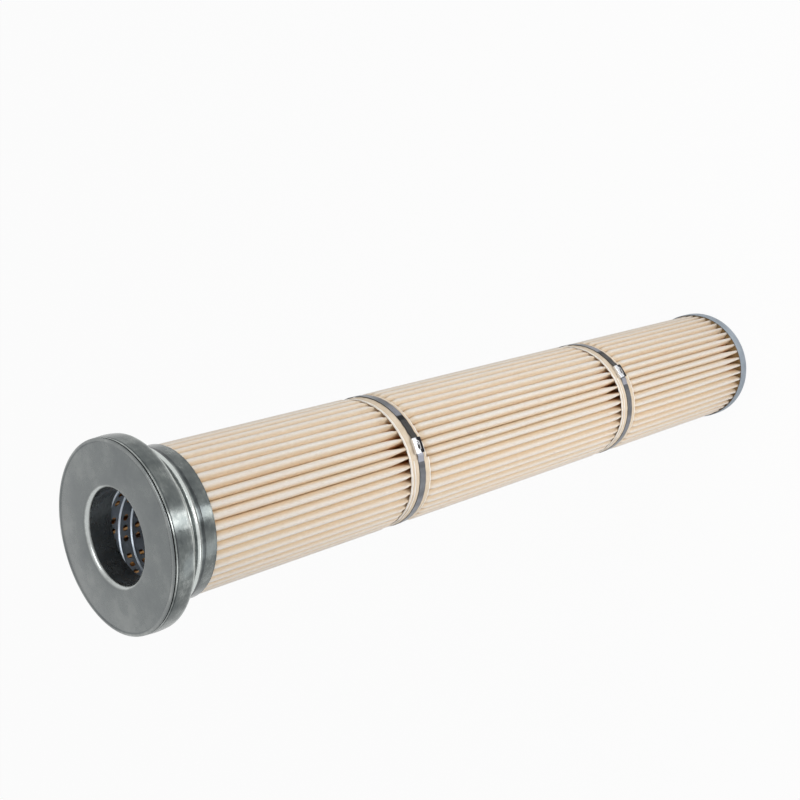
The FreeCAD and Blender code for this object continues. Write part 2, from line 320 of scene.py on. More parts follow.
def strapSteel():
    look = strapLook
    maker, place = newMaterial("strapSteel")
    along, across = tapePlace(maker)
    bands = maker.noise(maker.join(along * 40.0, 0.0, 0.0), 1.0, 1.5, 0.5)
    brushed = maker.noise(maker.stretch(place, 14.0), 90.0, 4.0, 0.7)
    base = maker.paint(bands * 0.8 + brushed * 0.2, [
        (0.36, look["low"]), (0.5, look["mid"]), (0.66, scaled(look["light"], look["brightBand"]))])

    def until(measure, end):
        return maker.span(measure, end, end + look["soft"], 1.0, 0.0)

    # Painted reflections and shade near the buckle: dark above it with a near black line where the strap kinks,
    # then a darker stretch and a light one below it
    above = until(along, look["darkEnd"])
    kink = maker.span(along, look["kinkStart"], look["kinkStart"] + look["soft"]) * above
    base = maker.tint(above * 0.9, base, look["dark"])
    base = maker.tint(kink * 0.85, base, look["kink"])
    remaining = look["length"] - along
    base = maker.tint(until(remaining, look["shadeEnd"]) * 0.8, base, look["low"])
    base = maker.tint(until(remaining, look["lightEnd"]) * 0.9, base, look["light"])
    # Painted shade along both edges of the strap
    edge = maker.span(maker.function("ABSOLUTE", across), *look["edges"])
    base = maker.tint(edge * 0.6, base, look["edge"])
    return finishMaterial(maker, base, 0.22 + brushed * 0.15, 0.9, brushed, 0.0001)


buckleLook = {
    "dark": (38, 38, 42), "light": (232, 234, 238), "smear": 240.0, "bump": 0.0001,
    # The rim's near white tones are a painted highlight
    "rim": [(0.3, (206, 206, 210)), (0.6, (240, 240, 242))], "hollow": [(0.3, (16, 16, 18)), (0.7, (30, 30, 32))],
}


def buckleSteel():
    # Painted reflection: bright on the side of the cap and dark on the other
    maker, place = newMaterial("buckleSteel")
    smear = maker.noise(place, buckleLook["smear"], 3.0)
    along, across = tapePlace(maker)
    bright = maker.span(across + (smear - 0.5) * 0.002 - along * 0.12, -0.0004, 0.0008)
    base = maker.tint(bright, shade(buckleLook["dark"]), buckleLook["light"])
    return finishMaterial(maker, base, 0.2 + smear * 0.12, 0.9, smear, buckleLook["bump"])


def rimSteel():
    maker, place = newMaterial("rimSteel")
    smear = maker.noise(place, buckleLook["smear"], 3.0)
    # Near white: a painted highlight on the raised oval rim
    base = maker.paint(smear, buckleLook["rim"])
    return finishMaterial(maker, base, 0.35, 0.25, smear, buckleLook["bump"])


def hollowShadeMaterial():
    # Painted shade: a near black sheet in the oval's sunk middle, where only shade falls
    maker, place = newMaterial("hollow")
    return finishMaterial(maker, maker.paint(maker.noise(place, 300.0, 2.0), buckleLook["hollow"]), 0.5)


looks = {
    "faceSteel": spunSteel("faceSteel", faceSteelLook), "shellSteel": spunSteel("shellSteel", shellSteelLook),
    "hollow": hollowShadeMaterial(), "coreSteel": cloudyMaterial("coreSteel", coreSteelLook), "mediaFelt": mediaFelt(),
    "pottingResin": cloudyMaterial("pottingResin", resinLook),
    "endCapSteel": cloudyMaterial("endCapSteel", endCapLook),
    "clothTape": clothTape(), "strapSteel": strapSteel(), "buckleSteel": buckleSteel(), "rimSteel": rimSteel(),
}
print("materials made")


# Mesh helpers

def newObject(name, data):
    made = bpy.data.objects.new(name, data)
    bpy.context.scene.collection.objects.link(made)
    return made


def dressNode(nodeName, lookName):
    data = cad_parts[nodeName].data
    data.materials.clear()
    data.materials.append(looks[lookName])


def addPiece(name, mesh, lookNames, node, creaseAngle=35.0):
    dressNode(node, lookNames[0])
    mesh.name = name
    for key in lookNames:
        mesh.materials.append(looks[key])
    mesh.shade_smooth()
    mesh.set_sharp_from_angle(angle=math.radians(creaseAngle))
    piece = newObject(name, mesh)
    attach(piece, "root")
    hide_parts(node)
    return piece


def meshFrom(points, faces):
    mesh = bpy.data.meshes.new("piece")
    mesh.from_pydata(points, [], faces)
    mesh.validate()
    return mesh


def editable(mesh):
    build = bmesh.new()
    build.from_mesh(mesh)
    return build


def finishMesh(build, merge=True, outwards=True):
    # Merges what coincides and points every face outwards
    if merge:
        bmesh.ops.remove_doubles(build, verts=build.verts, dist=mergeReach)
    if outwards:
        bmesh.ops.recalc_face_normals(build, faces=build.faces)
    mesh = bpy.data.meshes.new("piece")
    build.to_mesh(mesh)
    build.free()
    return mesh


def triangleCount(mesh):
    return sum(len(polygon.vertices) - 2 for polygon in mesh.polygons)


def polar(radius, angle, height):
    # A point in metres from its distance from the axis in millimetres, its angle and its height
    return radius * mm * math.cos(angle), radius * mm * math.sin(angle), height


def ringFaces(build, first, second):
    # Closes the gap between two rings of points with quads
    count = len(first)
    pairs = [(index, (index + 1) % count) for index in range(count)]
    return [build.faces.new((first[k], first[n], second[n], second[k])) for k, n in pairs]


def rounded(corners, steps):
    # Half section through (radius, drop from the top, rounding) corners, in millimetres
    points = []
    for index, (radius, drop, rounding) in enumerate(corners):
        corner = Vector((radius, drop))
        if rounding == 0:
            points.append(corner)
            continue
        before = (Vector(corners[index - 1][:2]) - corner).normalized()
        after = (Vector(corners[(index + 1) % len(corners)][:2]) - corner).normalized()
        half = before.angle(after) / 2.0
        reach = rounding / math.tan(half)
        start = corner + before * reach
        end = corner + after * reach
        centre = corner + (before + after).normalized() * rounding / math.sin(half)
        turn = (start - centre).angle_signed(end - centre)
        for step in range(steps + 1):
            arm = (start - centre).copy()
            arm.rotate(Matrix.Rotation(-turn * step / steps, 2))
            points.append(centre + arm)
    return points


def turnedMesh(section, segments, wobble=None):
    # Closed ring from a half section: radius and drop from the top of the cap
    build = bmesh.new()
    rings = []
    for step in range(segments):
        angle = fullTurn * step / segments
        ring = []
        for radius, drop in section:
            if wobble:
                radius, drop = wobble(radius, drop, angle)
            ring.append(build.verts.new(polar(radius, angle, capTop - drop * mm)))
        rings.append(ring)
    for step, ring in enumerate(rings):
        ringFaces(build, ring, rings[(step + 1) % segments])
    return finishMesh(build)


def smooth(low, high, value):
    share = min(1.0, max(0.0, (value - low) / (high - low)))
    return share * share * (3.0 - 2.0 * share)


# Top cap

facePlate = {
    "sheet": 1.2, "bore": 39.2, "lip": 5.0, "collar": 24.8, "edge": 0.3, "rim": 80.0, "rimWidth": 3.2,
    "rise": 0.4, "rimDepth": 1.6, "rimSlope": 0.9, "slopeRounding": 0.7, "rimRounding": 1.5, "neck": 78.2,
    "line": 0.16, "lineHalf": 0.45, "segments": 288, "steps": 7, "rippleFrom": 70.0, "ripple": (0.12, 0.1),
}


def makeFacePlate():
    size = facePlate
    flat, sheet, bore, rim, edge = (size[key] for key in ("rise", "sheet", "bore", "rim", "edge"))
    start = rim - size["rimWidth"]
    section = rounded([
        (bore, flat, size["lip"]), (start - 2.0 * size["lineHalf"], flat, 0),
        (start - size["lineHalf"], flat + size["line"], 0), (start, flat, 0),
        (start + size["rimSlope"], 0.0, size["slopeRounding"]), (rim, 0.0, size["rimRounding"]),
        (rim, size["rimDepth"], edge), (size["neck"], size["rimDepth"], 0), (size["neck"], flat + sheet, 0),
        (bore + sheet, flat + sheet, size["lip"] - sheet), (bore + sheet, size["collar"], edge),
        (bore, size["collar"], edge),
    ], size["steps"])
    mesh = turnedMesh(section, size["segments"], ripple)
    addPiece("topFacePlate", mesh, ["faceSteel"], "top_face_plate")


def ripple(radius, drop, angle):
    # The slight unevenness of hand-spun sheet, always inwards so that the size holds
    wave = 0.5 + 0.25 * math.sin(3 * angle + 0.7) + 0.25 * math.sin(7 * angle + radius * 0.05)
    inwards, down = facePlate["ripple"]
    outer = max(0.0, (radius - facePlate["rippleFrom"]) / 10.0)
    onFace = 1.0 if radius > 45.0 else 0.0
    return radius - inwards * wave * outer, drop + down * wave * max(0.0, 1.0 - drop) * onFace


capShell = {
    "sheet": 1.0, "hemNeck": 78.2, "hemStart": 1.6, "hem": 80.2, "hemTop": 2.6, "hemBottom": 4.0, "seam": 0.4,
    "bulge": 81.0, "bulgeRounding": 45.0, "seat": 21.3, "wallRounding": 3.0, "neck": 65.5, "coneEnd": 26.0,
    "beadTop": 30.7, "beadWidth": 6.6, "bead": 69.45, "beadRounding": 2.4, "innerBead": 2.6,
    "grooveEnd": 41.5, "skirtTop": 42.3, "skirt": 64.6, "skirtEnd": 53.1, "skirtInner": 63.7,
    "edge": 0.3, "segments": 288, "steps": 6, "ripple": 0.14,
}


def makeShell():
    size = capShell
    sheet, hem, neck, edge = size["sheet"], size["hem"], size["neck"], size["edge"]
    hemNeck, hemBottom, seat, inner = size["hemNeck"], size["hemBottom"], size["seat"], size["skirtInner"]
    beadTop, beadEnd = size["beadTop"], size["beadTop"] + size["beadWidth"]
    beadMiddle = beadTop + size["beadWidth"] / 2.0
    coneHeight = size["coneEnd"] - seat
    section = rounded([
        (hemNeck - sheet, size["hemStart"], 0), (hemNeck, size["hemStart"], 0), (hemNeck, size["hemTop"], 0.2),
        (hem, size["hemTop"], 0.55), (hem, hemBottom, 0.45), (hem - size["seam"], hemBottom + 0.25, 0.12),
        (hem + 0.05, hemBottom + 0.5, edge),
        (size["bulge"], (hemBottom + seat) / 2.0, size["bulgeRounding"]),
        (hem, seat, size["wallRounding"]), (neck, seat, coneHeight), (neck, beadTop, 1.2),
        (size["bead"], beadMiddle, size["beadRounding"]), (neck, beadEnd, 1.2), (neck, size["grooveEnd"], 0.8),
        (size["skirt"], size["skirtTop"], 0.8), (size["skirt"], size["skirtEnd"], edge),
        (inner, size["skirtEnd"], edge), (inner, beadEnd, 1.0), (inner + size["innerBead"], beadMiddle, 1.5),
        (inner, beadTop, 1.0), (inner, size["coneEnd"], 1.5), (neck + coneHeight - 1.0, seat - sheet, 1.5),
        (hem - sheet, seat - sheet, 1.5), (hem - sheet, hemBottom, 0), (hemNeck - sheet, size["hemTop"], 0),
    ], size["steps"])
    mesh = turnedMesh(section, size["segments"], shellRipple)
    addPiece("topShell", mesh, ["shellSteel"], "top_shell")


def shellRipple(radius, drop, angle):
    # Long flats and a few soft dents in the rolled wall
    if radius < 64.0 or drop > 50.0:
        return radius, drop
    wave = 0.5 + 0.3 * math.sin(5 * angle + 0.3 * drop) + 0.2 * math.sin(11 * angle - 0.5 * drop)
    return radius - capShell["ripple"] * wave, drop


# Geometry trees

def nodeTree(name, counts, numbers):
    # An empty geometry tree with named inputs, and the wires of those inputs
    tree = bpy.data.node_groups.new(name, "GeometryNodeTree")
    kinds = {"Geometry": ["Geometry"], "Int": counts, "Float": numbers + ["Weld"], "Material": ["Finish"]}
    for kind, labels in kinds.items():
        for label in labels:
            tree.interface.new_socket(label, in_out="INPUT", socket_type="NodeSocket" + kind)
    tree.interface.new_socket("Geometry", in_out="OUTPUT", socket_type="NodeSocketGeometry")
    maker = Maker(tree)
    entry = maker.add("NodeGroupInput").socket.node
    return tree, maker, {output.name: Wire(maker, output) for output in entry.outputs if output.name}


def merged(maker, given, geometry):
    return maker.add("GeometryNodeMergeByDistance", {}, {"Geometry": geometry, "Distance": given["Weld"]})


def copies(maker, given, count, position, rotation):
    # The carrier on a number of points, as plain geometry
    points = maker.add("GeometryNodePoints", {}, {"Count": count, "Position": position})
    instances = maker.add("GeometryNodeInstanceOnPoints", {}, {
        "Points": points, "Instance": given["Geometry"], "Rotation": rotation})
    return merged(maker, given, maker.add("GeometryNodeRealizeInstances", {}, [instances]))


def finishTree(maker, given, geometry):
    finished = maker.add("GeometryNodeSetMaterial", {}, {"Geometry": geometry, "Material": given["Finish"]})
    maker.add("NodeGroupOutput", {}, [finished])


def runTree(tree, carrier, values):
    # Runs the tree on a carrier mesh and gives the plain mesh that comes out
    holder = newObject("carrier", carrier)
    modifier = holder.modifiers.new("shape", "NODES")
    modifier.node_group = tree
    for item in tree.interface.items_tree:
        if item.in_out == "INPUT" and item.name in values:
            modifier[item.identifier] = values[item.name]
    mesh = evaluatedMesh(holder)
    holder.modifiers.clear()
    bpy.data.objects.remove(holder)
    return mesh


def evaluatedMesh(holder):
    bpy.context.view_layer.update()
    return bpy.data.meshes.new_from_object(holder.evaluated_get(bpy.context.evaluated_depsgraph_get()))


# Perforated core, wound from one strip: the cell holds three holes and half a rib on each side

coreStrip = {
    "radius": 40.5, "sheet": 0.8, "pitch": 60.0, "rows": 5, "groups": 8, "turns": 16, "turnsBelow": 14.0,
    "holes": 3, "holeStep": 12.0, "hole": 2.65, "holeSides": 10, "ribHeight": 1.15, "ribHalf": 1.35,
    "rowPlace": 828.4, "phase": 65.0, "foot": 1.0, "top": 873.4,
}


def coreCellMesh():
    size = coreStrip
    degree = math.radians(1.0) * size["radius"]
    half = size["pitch"] / size["rows"] / 2.0
    flat = half - size["ribHalf"]
    build = bmesh.new()

    def vertex(x, z):
        rise = size["ribHeight"] * max(0.0, abs(z) - flat) / size["ribHalf"]
        rise = size["ribHeight"] * math.sin(min(1.0, rise / size["ribHeight"]) * math.pi / 2.0)
        return build.verts.new((x * mm, rise * mm, z * mm))

    def strips(left, right, columns, levels):
        for column in range(columns):
            x0 = left + (right - left) * column / columns
            x1 = left + (right - left) * (column + 1) / columns
            for low, high in zip(levels, levels[1:]):
                build.faces.new((vertex(x0, low), vertex(x1, low), vertex(x1, high), vertex(x0, high)))

    third = flat / 3.0
    ribLevels = [flat, flat + size["ribHalf"] * 0.5, half]
    ribBelow = [-level for level in reversed(ribLevels)]
    width = size["holeStep"] * degree
    sides = size["holeSides"]
    for hole in range(size["holes"]):
        left = hole * width
        middle = left + width / 2.0
        right = left + width
        strips(left, right, 2, ribLevels)
        strips(left, right, 2, ribBelow)
        border = [(middle, flat), (left, flat), (left, third), (left, -third), (left, -flat), (middle, -flat),
                  (right, -flat), (right, -third), (right, third), (right, flat)]
        turns = [math.radians(90 + 360 / sides * k) for k in range(sides)]
        rim = [(middle + size["hole"] * math.cos(turn), size["hole"] * math.sin(turn)) for turn in turns]
        ringFaces(build, [vertex(*point) for point in border], [vertex(*point) for point in rim])
    strips(size["holes"] * width, 360.0 / size["groups"] * degree, 1, ribBelow + [-third, third] + ribLevels)
    return finishMesh(build, outwards=False)


def coreTree():
    tree, maker, given = nodeTree("woundCore", ["Rows", "Cells"], [
        "Cell width", "Row height", "Radius", "Rise per radian", "Start height", "Start angle"])
    index = maker.add("GeometryNodeInputIndex")
    column = maker.function("FLOOR", index / given["Rows"])
    row = index - column * given["Rows"]
    spot = maker.join(column * given["Cell width"], 0.0, row * given["Row height"])
    strip = copies(maker, given, given["Cells"], spot, origin)
    along, relief, across = maker.split(maker.add("GeometryNodeInputPosition"))
    angle = along / given["Radius"] + given["Start angle"]
    height = across + angle * given["Rise per radian"] + given["Start height"]
    place = maker.around(angle, given["Radius"] - relief, height)
    wound = maker.add("GeometryNodeSetPosition", {}, {"Geometry": strip, "Position": place})
    finishTree(maker, given, merged(maker, given, wound))
    return tree


def makeCore():
    size = coreStrip
    mesh = runTree(coreTree(), coreCellMesh(), {
        "Cell width": math.radians(360.0 / size["groups"]) * size["radius"] * mm,
        "Row height": size["pitch"] / size["rows"] * mm, "Rows": size["rows"],
        "Cells": size["turns"] * size["groups"] * size["rows"], "Radius": size["radius"] * mm,
        "Rise per radian": size["pitch"] * mm / fullTurn,
        "Start height": (size["rowPlace"] - size["turnsBelow"] * size["pitch"]) * mm,
        "Start angle": math.radians(size["phase"] - 360.0), "Weld": weld, "Finish": looks["coreSteel"]})
    build = editable(mesh)
    for height, normal in ((size["foot"], (0, 0, -1)), (size["top"], (0, 0, 1))):
        everything = build.verts[:] + build.edges[:] + build.faces[:]
        bmesh.ops.bisect_plane(build, geom=everything, plane_co=(0, 0, height * mm), plane_no=normal,
                               clear_outer=True)
    mesh = finishMesh(build, outwards=False)
    tube = newObject("tube", mesh)
    solid = tube.modifiers.new("wall", "SOLIDIFY")
    solid.thickness = size["sheet"] * mm
    solid.offset = 1.0 if outwardShare(mesh) > 0.5 else -1.0
    walled = evaluatedMesh(tube)
    bpy.data.objects.remove(tube)
    walled = finishMesh(editable(walled), merge=False)
    print("core triangles", triangleCount(walled))
    addPiece("innerCore", walled, ["coreSteel"], "inner_core", 50.0)


def outwardShare(mesh):
    # Share of the faces that point away from the axis
    away = [p.normal.dot(Vector((p.center.x, p.center.y, 0.0))) > 0.0 for p in mesh.polygons]
    return sum(away) / max(1, len(away))


# Pleated media: one pleat is modelled, and the tree sets it round the core and varies it

pleat = {
    "count": 45, "outer": 63.5, "inner": 41.4, "sheet": 0.7, "width": 4.1, "gap": 0.6, "flanks": (0.25, 0.5, 0.77),
    "tipSteps": 8, "foldRise": 0.35, "rowStep": 36.0, "bands": (590.4, 255.3),
    "bandRows": (0.0, 6.0, 10.0, 13.5, 17.0, 20.5, 24.0, 30.0, 38.0), "footRows": (4.0, 16.0, 32.0),
    "swing": 1.15, "swingNoise": (3.6, 2.6), "seed": 3.0, "swell": 1.77, "pinch": 0.5, "waist": 1.75, "tilt": 3.6,
}
# Where the tree's shapes start and end, in metres of radius, over the foot or beside a band. The Far
# factors shorten what happens on a band's lower side
pleatReach = {
    "swingDepth": (0.044, 0.0625, 0.15, 1.0), "swingFoot": 0.03,
    "free": (0.004, 0.032), "loose": (0.013, 0.036), "drawnIn": (0.0138, 0.0205, 1.0, 0.0),
    "looseFar": -2.0, "drawnFar": -1.15, "bellyIn": (0.0465, 0.0582), "bellyOut": (0.0589, 0.0635, 1.0, 0.0),
    "pinch": (0.053, 0.06), "waist": (0.048, 0.0605),
}


def pleatSection():
    # One pleat about the X axis: the outer side and the core side, as plan points in millimetres
    size = pleat
    halfPitch = math.pi / size["count"]
    half = size["width"] / 2.0
    sheet = size["sheet"]
    centre = size["outer"] - half
    inner = size["inner"]
    foot = inner + sheet
    valley = halfPitch - size["gap"] / 2.0 / foot
    fold = halfPitch - (size["gap"] / 2.0 + sheet) / inner

    def plan(radius, angle):
        return radius * math.cos(angle), radius * math.sin(angle)

    upper = [plan(foot, halfPitch), plan(foot, valley)]
    lower = [plan(inner, halfPitch), plan(inner + size["foldRise"], fold)]
    flankFoot = Vector(upper[1])
    for step in size["flanks"]:
        spot = flankFoot.lerp(Vector((centre, half)), step)
        upper.append(tuple(spot))
        lower.append((spot.x, spot.y - sheet))
    for step in range(size["tipSteps"] // 2 + 1):
        turn = math.pi / 2.0 - math.pi * step / size["tipSteps"]
        upper.append((centre + half * math.cos(turn), half * math.sin(turn)))
        lower.append((centre + (half - sheet) * math.cos(turn), (half - sheet) * math.sin(turn)))
    outer = upper + [(x, -y) for x, y in reversed(upper[:-1])]
    core = lower + [(x, -y) for x, y in reversed(lower[:-1])]
    return outer, core


def pleatRows(low, high):
    # Heights of the rows of points: close together at the bands and at the foot, where the shape changes
    rows = {low, high} | {low + step * mm for step in pleat["footRows"]}
    for band in pleat["bands"]:
        for step in pleat["bandRows"]:
            rows |= {(band - step) * mm, (band + step) * mm}
    rows = sorted(rows)
    filled = []
    for first, last in zip(rows, rows[1:]):
        count = max(1, round((last - first) / (pleat["rowStep"] * mm)))
        filled += [first + (last - first) * k / count for k in range(count)]
    return filled + [high]


def pleatMesh(low, high):
    outer, core = pleatSection()
    loop = outer + list(reversed(core))
    levels = pleatRows(low, high)
    points = [(x * mm, y * mm, z) for z in levels for x, y in loop]
    count = len(loop)
    half = len(outer)
    faces = []
    for level in range(len(levels) - 1):
        for index in range(count):
            if index not in (half - 1, count - 1):
                a = level * count + index
                faces.append((a, a + 1, a + 1 + count, a + count))
    for base, flip in ((0, True), ((len(levels) - 1) * count, False)):
        for index in range(half - 1):
            face = (base + index, base + index + 1, base + count - 2 - index, base + count - 1 - index)
            faces.append(tuple(reversed(face)) if flip else face)
    return meshFrom(points, faces)


def pleatTree():
    reach = pleatReach
    tree, maker, given = nodeTree("pleatedRound", ["Pleats"], [
        "Swing", "Seed", "Low", "Upper band", "Lower band", "Swell", "Pinch", "Waist", "Tilt"])
    index = maker.add("GeometryNodeInputIndex")
    turn = maker.join(0.0, 0.0, index * fullTurn / given["Pleats"])
    ring = copies(maker, given, given["Pleats"], origin, turn)
    east, north, height = maker.split(maker.add("GeometryNodeInputPosition"))
    radius = (east * east + north * north) ** 0.5
    angle = maker.function("ARCTAN2", north, east)

    # The swing is even round each circle, so a pleat leans as a whole and its neighbours crowd or spread
    wide, tall = pleat["swingNoise"]
    lean = maker.add("ShaderNodeTexNoise", {"noise_dimensions": "4D"}, {
        "Vector": maker.around(angle, wide, height * tall), "W": given["Seed"], "Scale": 1.0, "Detail": 2.0,
        "Roughness": 0.6})
    freeLow = maker.span(height, given["Low"], given["Low"] + reach["swingFoot"], 0.6, 1.0)
    swing = (lean - 0.5) * given["Swing"] * maker.span(radius, *reach["swingDepth"]) * freeLow

    # Between the bands the flanks swell until neighbours touch, and at a band the tips are pinched
    free = maker.ease(height, given["Low"] + reach["free"][0], given["Low"] + reach["free"][1])
    level = height - maker.function("COSINE", angle) * given["Tilt"]
    drawnIn = 0.0
    for key in ("Upper band", "Lower band"):
        beside = level - given[key]
        loose = maker.function("MAXIMUM", beside, beside * reach["looseFar"])
        away = maker.function("MAXIMUM", beside, beside * reach["drawnFar"])
        free = free * maker.ease(loose, *reach["loose"])
        drawnIn = maker.ease(away, *reach["drawnIn"]) + drawnIn
    turns = angle * given["Pleats"] / fullTurn
    side = maker.function("SIGN", turns - maker.function("ROUND", turns))
    belly = maker.ease(radius, *reach["bellyIn"]) * maker.ease(radius, *reach["bellyOut"])
    pinch = (1.0 - free) * maker.ease(radius, *reach["pinch"]) * given["Pinch"]
    newAngle = angle + swing + side * (free * belly * given["Swell"] - pinch)
    newRadius = radius - drawnIn * given["Waist"] * maker.ease(radius, *reach["waist"])
    place = maker.around(newAngle, newRadius, height)
    finishTree(maker, given, maker.add("GeometryNodeSetPosition", {}, {"Geometry": ring, "Position": place}))
    return tree


def makePleats():
    low, high = (corner.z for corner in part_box("pleated_media"))
    upperBand, lowerBand = pleat["bands"]
    mesh = runTree(pleatTree(), pleatMesh(low, high), {
        "Pleats": pleat["count"], "Swing": math.radians(pleat["swing"]) * 4.0, "Seed": pleat["seed"],
        "Low": low, "Upper band": upperBand * mm, "Lower band": lowerBand * mm,
        "Swell": math.radians(pleat["swell"]), "Pinch": math.radians(pleat["pinch"]),
        "Waist": pleat["waist"] * mm, "Tilt": pleat["tilt"] * mm, "Weld": weld, "Finish": looks["mediaFelt"]})
    mesh = finishMesh(editable(mesh), merge=False)
    print("media triangles", triangleCount(mesh))
    piece = addPiece("pleatedMedia", mesh, ["mediaFelt"], "pleated_media", 50.0)
    outer = pleatSection()[0]


# Bottom cap

bottomCup = {
    "outer": 65.1, "inner": 64.1, "height": 13.0, "sheet": 1.0, "rounding": 1.6, "edge": 0.35,
    "innerRounding": 0.6, "segments": 192, "steps": 6,
}


def makeBottomCap():
    size = bottomCup
    total = capTop / mm
    section = rounded([
        (0.0, total, 0), (size["outer"], total, size["rounding"]),
        (size["outer"], total - size["height"], size["edge"]),
        (size["inner"], total - size["height"], size["edge"]),
        (size["inner"], total - size["sheet"], size["innerRounding"]), (0.0, total - size["sheet"], 0),
    ], size["steps"])
    mesh = turnedMesh(section, size["segments"])
    addPiece("bottomCap", mesh, ["endCapSteel"], "bottom_cap")


# Cloth tape, steel straps and buckles

tape = {
    "width": 21.6, "thickness": 0.38, "seat": 61.9, "stack": 1.16, "turns": 2.62, "tilt": 3.6, "sag": 0.28,
    "turnPlaces": (2.7, 1.9, -1.3), "fromEnd": 0.473, "shiftHalf": 0.17, "lapHalf": 0.03, "lapSlope": 0.8,
    "flutter": 0.1, "endLift": 0.25, "endLength": 0.004, "waver": 0.2, "stations": 900, "columns": 12,
}
strap = {
    "width": 7.9, "thickness": 0.5, "lift": 0.75, "liftReach": (13.0, 8.0), "kink": 0.16,
    "kinkReach": (34.0, 12.0), "sag": 0.12, "sagReach": (20.0, 10.0), "stations": 540, "columns": 6,
}
bandPlaces = {
    "upper": {"drop": 290.3, "buckleAngle": -88.2, "tapeEnd": -99.6},
    "lower": {"drop": 625.4, "buckleAngle": -74.6, "tapeEnd": -80.0},
}


def stripMesh(size, shape, closed):
    # A strip along its stations: shape gives the angle, radius and height of each point
    halfWidth = size["width"] / 2.0
    across = size["columns"]
    sides = [-1.0 + 2.0 * column / across for column in range(across + 1)]
    ringSides = sides + sides[::-1]
    build = bmesh.new()
    tapeMap = build.loops.layers.uv.new("tapeMap")
    rows = []
    lengths = [0.0]
    for station in range(size["stations"] + 1):
        inner, outer = [], []
        for side in sides:
            angle, radius, height = shape(station / size["stations"], side * halfWidth)
            inner.append(build.verts.new(polar(radius, angle, height * mm)))
            outer.append(build.verts.new(polar(radius + size["thickness"], angle, height * mm)))
        rows.append(outer + inner[::-1])
        if station:
            lengths.append(lengths[-1] + (rows[-1][across // 2].co - rows[-2][across // 2].co).length)
    for here, there, first, second in zip(lengths, lengths[1:], rows, rows[1:]):
        for index, face in enumerate(ringFaces(build, first, second)):
            left, right = ringSides[index], ringSides[(index + 1) % len(ringSides)]
            places = ((here, left), (here, right), (there, right), (there, left))
            for loop, (length, side) in zip(face.loops, places):
                loop[tapeMap].uv = (length, side * halfWidth * mm)
    if not closed:
        for row in (rows[0], rows[-1]):
            for column in range(across):
                build.faces.new((row[-1 - column], row[-2 - column], row[column + 1], row[column]))
    return finishMesh(build, merge=closed), lengths[-1]


def scallop(angle, amount):
    # How far a tight band dips between one pleat's tip and the next
    return amount * (0.5 - 0.5 * math.cos(angle * pleat["count"]))


def tilted(angle, drop):
    # Height of a band's middle, which isn't quite square to the element
    return capTop / mm - drop + tape["tilt"] * math.cos(angle)


def makeTape(name, band):
    size = tape
    end = math.radians(band["tapeEnd"])
    total = size["turns"]
    shift = total - size["fromEnd"]
    first, second, third = size["turnPlaces"]
    half = size["width"] / 2.0

    def shape(share, side):
        # Each turn lies on the one before and a little lower, and drops where nothing is under it
        turned = share * total
        angle = end - (total - turned) * fullTurn
        reach = size["shiftHalf"]
        height = side + first + (second - first) * smooth(shift - 1.0 - reach, shift - 1.0 + reach, turned)
        height += (third - second) * smooth(shift - reach, shift + reach, turned)
        layer = 0.0
        for turn, place in ((1.0, first), (2.0, second)):
            lap = smooth(turn - size["lapHalf"], turn + size["lapHalf"], turned)
            layer += lap * smooth(-size["lapSlope"], size["lapSlope"], height - place + half)
        flutter = size["flutter"] * math.sin(angle * 23.0 + side) * smooth(0.5, 1.0, abs(side) / half)
        lifted = size["endLift"] * smooth(total - size["endLength"], total, turned)
        radius = size["seat"] + size["thickness"] * layer - scallop(angle, size["sag"]) * (1.0 - 0.25 * layer)
        height += tilted(angle, band["drop"]) + size["waver"] * math.sin(angle * 9.0)
        return angle, radius + flutter * min(1.0, layer) + lifted, height

    mesh, length = stripMesh(size, shape, closed=False)
    piece = addPiece("clothBand" + name.capitalize(), mesh, ["clothTape"], "cloth_band_" + name, 60.0)
    print("tape length", name, round(length, 4))


def makeStrap(name, band):
    size = strap
    seat = tape["seat"] + tape["stack"]
    buckleAngle = math.radians(band["buckleAngle"])

    def shape(share, side):
        # One turn, lifted and slightly kinked where it runs into the buckle
        angle = buckleAngle + share * fullTurn
        beside = abs(math.remainder(angle - buckleAngle, fullTurn)) * seat
        lift = size["lift"] * smooth(*size["liftReach"], beside)
        kink = size["kink"] * math.sin(beside * 0.75) * smooth(*size["kinkReach"], beside)
        sag = scallop(angle, size["sag"]) * (1.0 - smooth(*size["sagReach"], beside))
        return angle, seat + lift + kink - sag, tilted(angle, band["drop"]) + side

    mesh, length = stripMesh(size, shape, closed=True)
    print("strap length", name, round(length, 4))
    addPiece("steelStrap" + name.capitalize(), mesh, ["strapSteel"], "steel_strap_" + name, 40.0)


buckle = {
    "length": 14.7, "width": 10.8, "height": 3.7, "sheet": 0.7, "rounding": 1.1, "innerRounding": 0.75,
    "lowerShare": 0.4, "cornerSteps": 4, "seat": 0.1, "offset": 0.9, "endPinch": 0.05,
    "slotLength": 9.2, "slotWidth": 4.6, "slotPlace": 0.7, "slotSteps": 40, "ball": 1.0, "ballPlace": 2.4,
    "stations": [-0.5, -0.46, -0.4, -0.3, -0.2, -0.1, 0.0, 0.1, 0.2, 0.3, 0.4, 0.46, 0.5],
    "oval": [(0.0, -0.25), (0.0, 0.16), (-0.35, 0.34), (-0.9, 0.3), (-1.05, 0.1), (-1.15, 0.05)],
}


def sleeveOutline(low, high, width, rounding):
    # Section of the folded sleeve, with tighter corners on the side of the tape
    half = width / 2.0
    steps = buckle["cornerSteps"]
    outline = []
    for across, up, first in ((half, high, 0), (-half, high, 1), (-half, low, 2), (half, low, 3)):
        small = rounding if up == high else rounding * buckle["lowerShare"]
        centre = (across - math.copysign(small, across), up + (-small if up == high else small))
        for step in range(steps + 1):
            turn = math.radians(90.0 * first + 90.0 * step / steps)
            outline.append((centre[0] + small * math.cos(turn), centre[1] + small * math.sin(turn)))
    return outline


